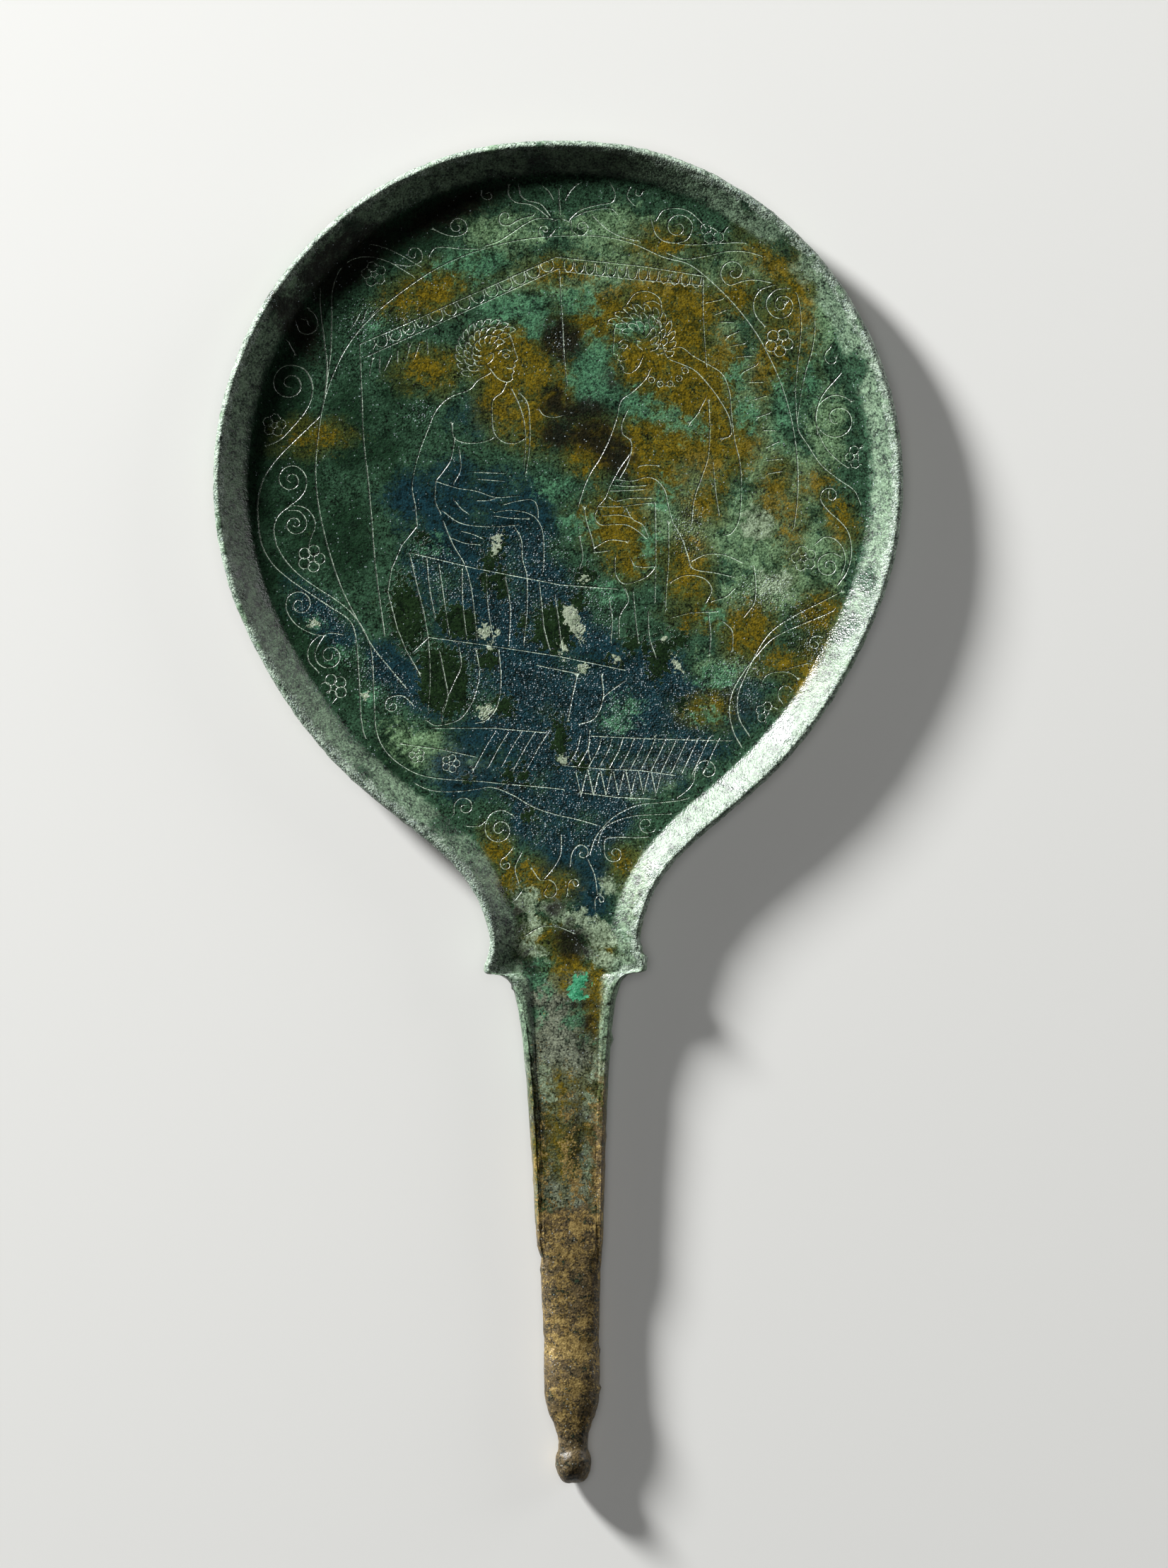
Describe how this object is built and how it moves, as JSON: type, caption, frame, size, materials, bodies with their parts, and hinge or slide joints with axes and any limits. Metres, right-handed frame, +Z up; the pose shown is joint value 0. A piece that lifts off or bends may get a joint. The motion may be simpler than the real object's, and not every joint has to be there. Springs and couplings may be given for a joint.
{
  "type": "hand mirror",
  "caption": "Pear-shaped cast bronze hand mirror with a raised rim, blunt neck shoulders and a flat handle that ends in a bulb and a ball.",
  "frame": {"origin": "under the middle of the mirror's length and width, on the surface that it lies on", "axes": "+Y along the handle towards the disc, +Z up out of the engraved side, +X to the right as the engraving is read"},
  "size_m": [0.16, 0.311, 0.0092],
  "materials": {
    "patinated_bronze": "cast bronze under a green, blue and ochre corrosion crust, with bare golden metal left on the handle"
  },
  "bodies": {
    "root": {"mirror": "patinated_bronze"}
  },
  "joints": []
}
